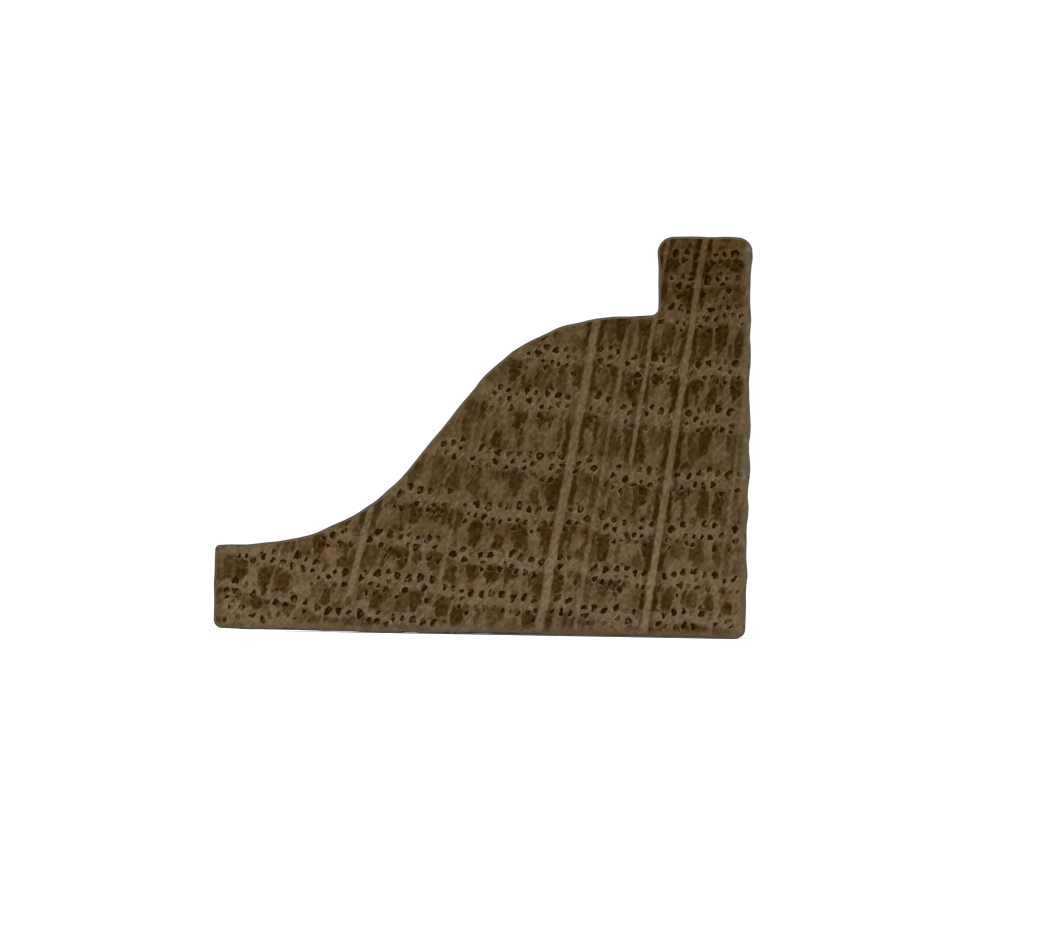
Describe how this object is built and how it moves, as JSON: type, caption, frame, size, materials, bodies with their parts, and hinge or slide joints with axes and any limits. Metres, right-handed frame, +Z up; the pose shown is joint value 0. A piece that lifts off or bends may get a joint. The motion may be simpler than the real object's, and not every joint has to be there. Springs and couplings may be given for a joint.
{
  "type": "panel moulding",
  "caption": "Length of solid oak panel moulding with an ogee face, a thin lip and a square bead at the heel, cut square at both ends.",
  "frame": {"origin": "middle of the back, the flat face that lies on the panel, halfway along the length", "axes": "+X across the moulding, from the thin lip to the heel; +Y along the length; +Z up from the back to the top of the bead"},
  "size_m": [0.019, 1, 0.0143],
  "materials": {
    "bare_oak": "unfinished oak: brown sawn end grain with open pores and pale rays, and straight-grained planed faces"
  },
  "bodies": {
    "root": {"panel_moulding": "bare_oak"}
  },
  "joints": []
}
